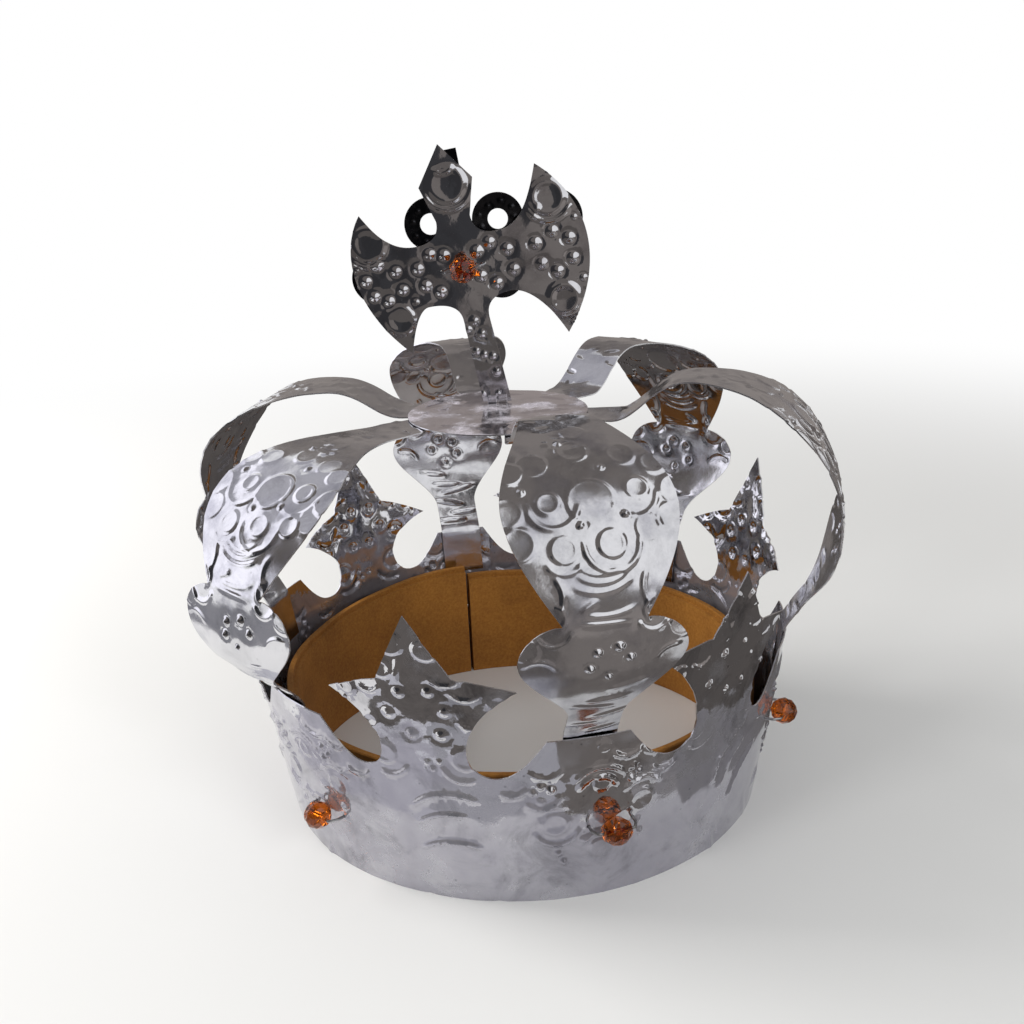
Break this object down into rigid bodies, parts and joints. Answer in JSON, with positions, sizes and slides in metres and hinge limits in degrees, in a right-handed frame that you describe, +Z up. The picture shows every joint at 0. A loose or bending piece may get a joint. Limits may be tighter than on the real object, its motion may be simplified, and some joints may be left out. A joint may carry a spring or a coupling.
{
  "type": "orisha crown",
  "caption": "Beaten sheet-metal crown: flared band with star points, arched straps, double axe on top, amber beads, board liner.",
  "frame": {"origin": "centre of the band's bottom rim, on the plane that the crown stands on", "axes": "+Z up along the band's axis, -Y to the front, where the axe faces, +X to the right of someone who faces it"},
  "size_m": [0.2393, 0.2393, 0.2368],
  "materials": {
    "sheet_metal": "bright beaten sheet, scuffed, with a faint grey bloom on the band",
    "dark_sheet_metal": "glossy black, beaten",
    "wire": "dull bare wire",
    "amber_glass": "clear faceted amber",
    "liner_board": "matt brown pressed board"
  },
  "bodies": {
    "root": {"head_band": "sheet_metal", "inner_liner": "liner_board", "strap_1": "sheet_metal", "strap_2": "sheet_metal", "strap_3": "sheet_metal", "strap_4": "sheet_metal", "strap_5": "sheet_metal", "strap_6": "sheet_metal", "hub_disc": "sheet_metal", "axe_plate": "sheet_metal", "rear_plate": "dark_sheet_metal", "bead_wire_1": "wire", "bead_wire_2": "wire", "bead_wire_3": "wire", "bead_wire_4": "wire", "bead_wire_5": "wire", "bead_wire_6": "wire", "axe_bead_wire": "wire"},
    "bead_1": {"bead_1": "amber_glass"},
    "bead_2": {"bead_2": "amber_glass"},
    "bead_3": {"bead_3": "amber_glass"},
    "bead_4": {"bead_4": "amber_glass"},
    "bead_5": {"bead_5": "amber_glass"},
    "bead_6": {"bead_6": "amber_glass"},
    "axe_bead": {"axe_bead": "amber_glass"}
  },
  "joints": [
    {"name": "bead_1_spin", "type": "hinge", "parent": "root", "child": "bead_1", "pos_m": [0.0284, -0.09588, 0.02935], "axis": [0.9588, 0.284, 0], "continuous": true},
    {"name": "bead_2_spin", "type": "hinge", "parent": "root", "child": "bead_2", "pos_m": [0.09451, -0.03628, 0.03709], "axis": [0.3584, 0.9336, 0], "continuous": true},
    {"name": "bead_3_spin", "type": "hinge", "parent": "root", "child": "bead_3", "pos_m": [0.07189, 0.06943, 0.02902], "axis": [-0.6947, 0.7193, 0], "continuous": true},
    {"name": "bead_4_spin", "type": "hinge", "parent": "root", "child": "bead_4", "pos_m": [-0.03254, 0.0945, 0.02902], "axis": [-0.9455, -0.3256, 0], "continuous": true},
    {"name": "bead_5_spin", "type": "hinge", "parent": "root", "child": "bead_5", "pos_m": [-0.09406, 0.03424, 0.02999], "axis": [-0.342, -0.9397, 0], "continuous": true},
    {"name": "bead_6_spin", "type": "hinge", "parent": "root", "child": "bead_6", "pos_m": [-0.07119, -0.06875, 0.0229], "axis": [0.6947, -0.7193, 0], "continuous": true},
    {"name": "axe_bead_spin", "type": "hinge", "parent": "root", "child": "axe_bead", "pos_m": [-0.014, 0.0063, 0.1942], "axis": [0.9877, 0, 0.1564], "continuous": true}
  ]
}
